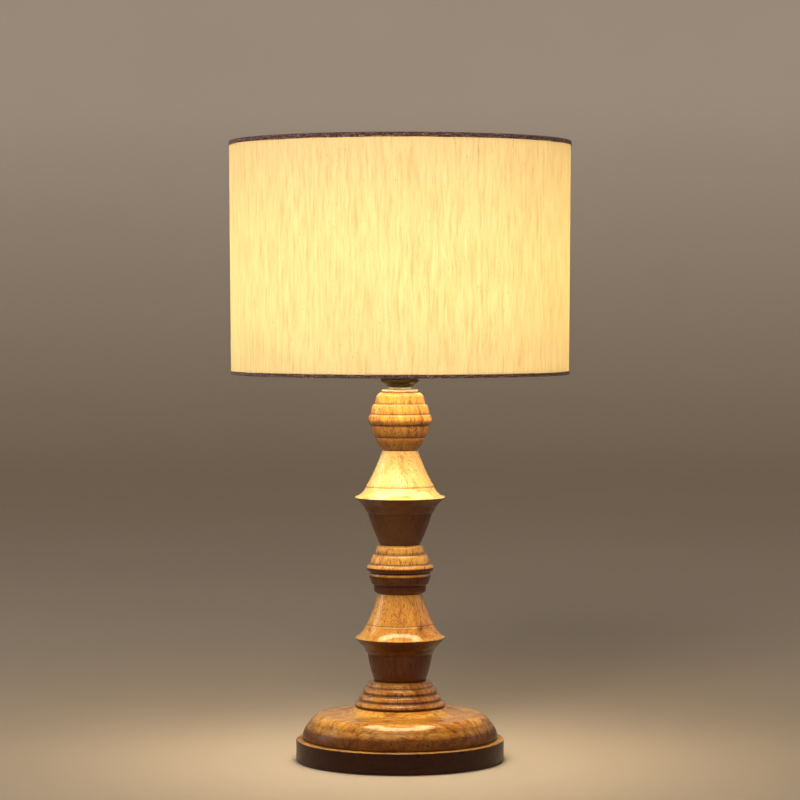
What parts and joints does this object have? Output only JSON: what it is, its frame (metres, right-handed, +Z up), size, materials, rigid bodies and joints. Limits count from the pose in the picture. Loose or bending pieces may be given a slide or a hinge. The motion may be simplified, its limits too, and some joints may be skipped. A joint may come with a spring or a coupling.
{
  "type": "table lamp",
  "caption": "Table lamp: turned wooden baluster of spools and ribbed beads on a domed round base, with a cylindrical fabric drum shade and a screw-in opal bulb.",
  "frame": {"origin": "centre of the underside of the felt pad, on the lamp's axis", "axes": "+Z up along the threaded rod; +Y points to the back, where the cord outlet is; +X to the right seen from the front"},
  "size_m": [0.254, 0.254, 0.46],
  "materials": {
    "turned_wood": "lacquered honey-brown hardwood, glossy",
    "plinth_wood": "lacquered dark brown hardwood, glossy",
    "felt": "dark brown felt, matt",
    "zinc_steel": "zinc plated, satin",
    "nickel": "nickel plated, bright",
    "brass": "lacquered brass, satin",
    "aged_brass": "darkened brass, satin",
    "rubber": "black, matt",
    "porcelain": "white glaze",
    "opal_glass": "opal white, lit from inside",
    "clear_glass": "clear, polished",
    "black_glass": "black vitreous insulator, gloss",
    "tungsten": "glowing wire",
    "white_wire": "white paint, semi-gloss",
    "styrene": "translucent white film, satin",
    "shade_cotton": "slubbed natural cotton, lit from inside",
    "hem_cotton": "folded slubbed cotton, matt"
  },
  "bodies": {
    "lamp_base": {"felt_pad": "felt", "plinth": "plinth_wood", "base_dome": "turned_wood", "foot_collar": "turned_wood", "lower_spool": "turned_wood", "middle_bead": "turned_wood", "upper_spool": "turned_wood", "top_bead": "turned_wood", "threaded_rod": "zinc_steel", "bottom_washer": "zinc_steel", "bottom_nut": "zinc_steel", "flange_washer": "nickel", "locknut": "nickel", "cord_grommet": "rubber", "holder_cap": "aged_brass", "holder_shell": "brass", "holder_insulator": "porcelain", "screw_shell": "brass", "centre_contact": "brass", "terminal_screw_1": "brass", "terminal_screw_2": "brass"},
    "shade": {"fitter_ring": "white_wire", "spoke_1": "white_wire", "spoke_2": "white_wire", "spoke_3": "white_wire", "bottom_wire_ring": "white_wire", "top_wire_ring": "white_wire", "shade_liner": "styrene", "shade_fabric": "shade_cotton", "top_hem": "hem_cotton", "bottom_hem": "hem_cotton"},
    "ring_nut": {"shade_ring": "brass"},
    "bulb_tip": {"bulb_contact": "zinc_steel", "bulb_insulator": "black_glass"},
    "bulb": {"bulb_cap": "nickel", "bulb_glass": "opal_glass", "filament_mount": "clear_glass", "support_wire_1": "zinc_steel", "support_wire_2": "zinc_steel", "filament": "tungsten"}
  },
  "joints": [
    {"name": "shade_turn", "type": "hinge", "parent": "lamp_base", "child": "shade", "pos_m": [0, 0, 0.3045], "axis": [0, 0, 1], "continuous": true},
    {"name": "ring_loosen", "type": "hinge", "parent": "lamp_base", "child": "ring_nut", "pos_m": [0, 0, 0.309], "axis": [0, 0, 1], "range_deg": [0, 90]},
    {"name": "bulb_rise", "type": "slide", "parent": "lamp_base", "child": "bulb_tip", "axis": [0, 0, 1], "range_m": [0, 0.011]},
    {"name": "bulb_turn", "type": "hinge", "parent": "bulb_tip", "child": "bulb", "pos_m": [0, 0, 0.31], "axis": [0, 0, 1], "range_deg": [0, 1080]}
  ],
  "couplings": [
    {"joint": "bulb_rise", "follows": "bulb_turn", "m_per_rad": 0.00057757}
  ]
}
